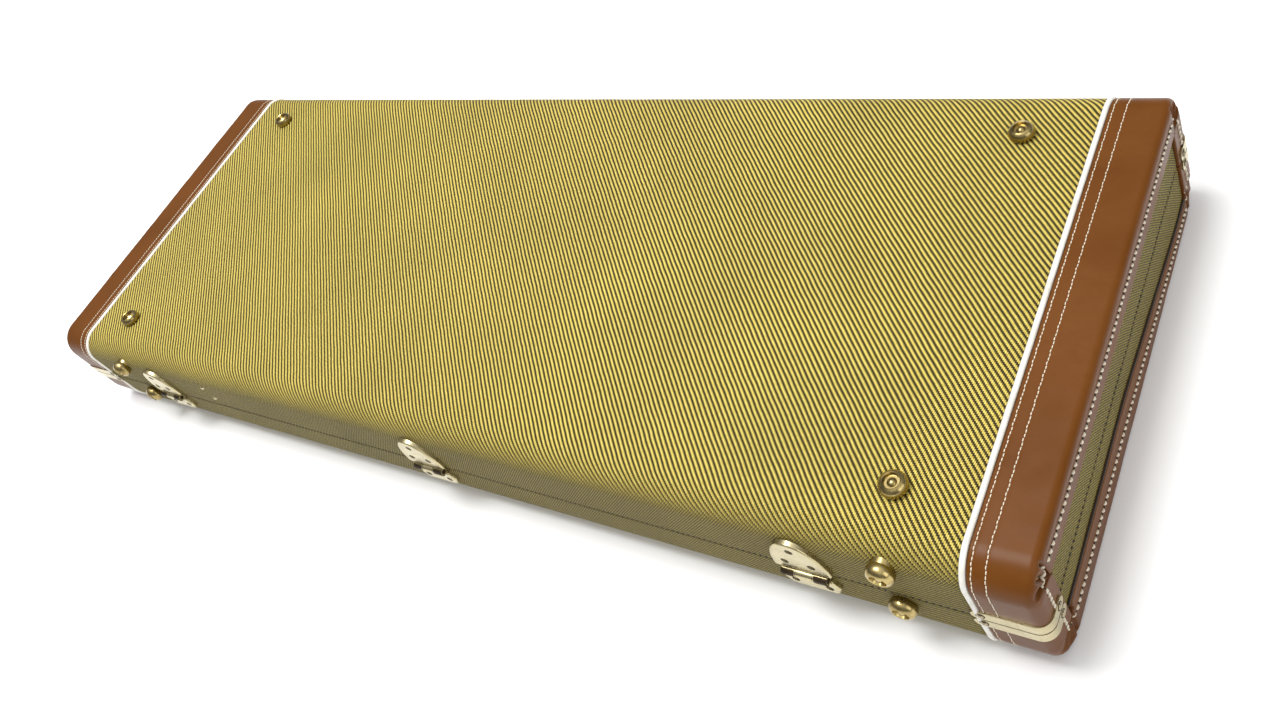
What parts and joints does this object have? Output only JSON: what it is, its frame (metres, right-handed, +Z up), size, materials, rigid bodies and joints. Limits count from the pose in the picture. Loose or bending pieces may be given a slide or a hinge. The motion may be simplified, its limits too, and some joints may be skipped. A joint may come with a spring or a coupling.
{
  "type": "guitar case",
  "caption": "Rectangular hard-shell guitar case in tweed with leather ends: hinged halves, draw latches, carrying handle, padded interior.",
  "frame": {"origin": "centre of the lid's flat outer face, which rests on the floor; the closed case lies on its lid with the base shell and its four feet on top", "axes": "+X along the case towards the guitar-body end, +Y from the hinge side towards the latch and handle side, +Z up from the lid towards the base"},
  "size_m": [1.075, 0.406, 0.119],
  "materials": {
    "antique_brass": "dull warm brass, turned",
    "brown_leather": "smooth glossy tan leather with cream stitching",
    "handle_leather": "smooth glossy tan leather with cream stitching",
    "pale_brass": "bright pale brass plate",
    "plated_steel": "satin plated steel",
    "plush": "short pile plush",
    "plywood": "thin plywood with visible plies at the rim",
    "tweed": "yellow and dark olive twill weave",
    "white_piping": "off-white welt"
  },
  "bodies": {
    "lid": {"lid_shell": "plywood", "lid_tweed": "tweed", "lid_leather_left": "brown_leather", "lid_leather_right": "brown_leather", "lid_piping": "white_piping", "lid_lining": "plush", "lid_pad": "plush", "lid_corner_straps": "pale_brass", "lid_rivets": "pale_brass", "lid_side_feet": "antique_brass", "lid_foot_rivets": "antique_brass", "hinge_lid_leaves": "pale_brass", "hinge_pins": "plated_steel", "hinge_lid_rivets": "pale_brass", "latch_plates": "pale_brass", "stay_lid_bracket": "plated_steel"},
    "base": {"base_shell": "plywood", "base_tweed": "tweed", "base_leather_left": "brown_leather", "base_leather_right": "brown_leather", "base_piping": "white_piping", "base_lining": "plush", "base_valance": "plush", "body_bay_padding": "plush", "neck_bay_padding": "plush", "neck_rest": "plush", "accessory_tray": "plush", "accessory_lid_pivots": "plated_steel", "base_corner_straps": "pale_brass", "base_rivets": "pale_brass", "bottom_feet": "antique_brass", "base_side_feet": "antique_brass", "base_foot_rivets": "antique_brass", "hinge_base_leaves": "pale_brass", "hinge_base_rivets": "pale_brass", "latch_keepers": "pale_brass", "handle_posts": "pale_brass", "stay_base_bracket": "plated_steel", "stay_rivets": "pale_brass"},
    "handle": {"handle_grip": "handle_leather", "handle_loops": "pale_brass"},
    "accessory_lid": {"accessory_lid": "plush", "accessory_lid_tab": "brown_leather"},
    "stay_lower": {"stay_lower_link": "plated_steel"},
    "stay_upper": {"stay_upper_link": "plated_steel"},
    "lock_cylinder": {"lock_cylinder": "pale_brass"},
    "latch_lever_1": {"latch_lever_1": "pale_brass"},
    "latch_hook_1": {"latch_hook_1": "pale_brass"},
    "latch_lever_2": {"latch_lever_2": "pale_brass"},
    "latch_hook_2": {"latch_hook_2": "pale_brass"},
    "latch_lever_3": {"latch_lever_3": "pale_brass"},
    "latch_hook_3": {"latch_hook_3": "pale_brass"},
    "latch_lever_4": {"latch_lever_4": "pale_brass"},
    "latch_hook_4": {"latch_hook_4": "pale_brass"}
  },
  "joints": [
    {"name": "base_open", "type": "hinge", "parent": "lid", "child": "base", "pos_m": [0, -0.194, 0.054], "axis": [1, 0, 0], "range_deg": [0, 95]},
    {"name": "stay_lower_turn", "type": "hinge", "parent": "lid", "child": "stay_lower", "pos_m": [-0.27725, -0.167, 0.047], "axis": [1, 0, 0], "range_deg": [0, 95]},
    {"name": "stay_upper_turn", "type": "hinge", "parent": "stay_lower", "child": "stay_upper", "pos_m": [-0.27545, -0.14, 0.067], "axis": [1, 0, 0], "range_deg": [-95, 0]},
    {"name": "handle_swing", "type": "hinge", "parent": "base", "child": "handle", "pos_m": [0, 0.199, 0.078], "axis": [1, 0, 0], "range_deg": [0, 170]},
    {"name": "accessory_lid_open", "type": "hinge", "parent": "base", "child": "accessory_lid", "pos_m": [-0.195, 0.121, 0.0562], "axis": [-1, 0, 0], "range_deg": [0, 85]},
    {"name": "latch_lever_1_swing", "type": "hinge", "parent": "lid", "child": "latch_lever_1", "pos_m": [-0.385, 0.1945, 0.041], "axis": [1, 0, 0], "range_deg": [0, 125]},
    {"name": "latch_hook_1_swing", "type": "hinge", "parent": "latch_lever_1", "child": "latch_hook_1", "pos_m": [-0.385, 0.196, 0.033], "axis": [1, 0, 0], "range_deg": [-125, 0]},
    {"name": "latch_lever_2_swing", "type": "hinge", "parent": "lid", "child": "latch_lever_2", "pos_m": [-0.165, 0.1945, 0.041], "axis": [1, 0, 0], "range_deg": [0, 125]},
    {"name": "latch_hook_2_swing", "type": "hinge", "parent": "latch_lever_2", "child": "latch_hook_2", "pos_m": [-0.165, 0.196, 0.033], "axis": [1, 0, 0], "range_deg": [-125, 0]},
    {"name": "latch_lever_3_swing", "type": "hinge", "parent": "lid", "child": "latch_lever_3", "pos_m": [0.165, 0.1945, 0.041], "axis": [1, 0, 0], "range_deg": [0, 125]},
    {"name": "latch_hook_3_swing", "type": "hinge", "parent": "latch_lever_3", "child": "latch_hook_3", "pos_m": [0.165, 0.196, 0.033], "axis": [1, 0, 0], "range_deg": [-125, 0]},
    {"name": "latch_lever_4_swing", "type": "hinge", "parent": "lid", "child": "latch_lever_4", "pos_m": [0.385, 0.1945, 0.041], "axis": [1, 0, 0], "range_deg": [0, 125]},
    {"name": "latch_hook_4_swing", "type": "hinge", "parent": "latch_lever_4", "child": "latch_hook_4", "pos_m": [0.385, 0.196, 0.033], "axis": [1, 0, 0], "range_deg": [-125, 0]},
    {"name": "key_turn", "type": "hinge", "parent": "latch_lever_3", "child": "lock_cylinder", "pos_m": [0.165, 0.1974, 0.018], "axis": [0, 1, 0], "range_deg": [0, 90]}
  ],
  "couplings": [
    {"joint": "stay_lower_turn", "follows": "base_open", "ratio": 1},
    {"joint": "stay_upper_turn", "follows": "base_open", "ratio": -1},
    {"joint": "latch_hook_1_swing", "follows": "latch_lever_1_swing", "ratio": -1},
    {"joint": "latch_hook_2_swing", "follows": "latch_lever_2_swing", "ratio": -1},
    {"joint": "latch_hook_3_swing", "follows": "latch_lever_3_swing", "ratio": -1},
    {"joint": "latch_hook_4_swing", "follows": "latch_lever_4_swing", "ratio": -1}
  ]
}
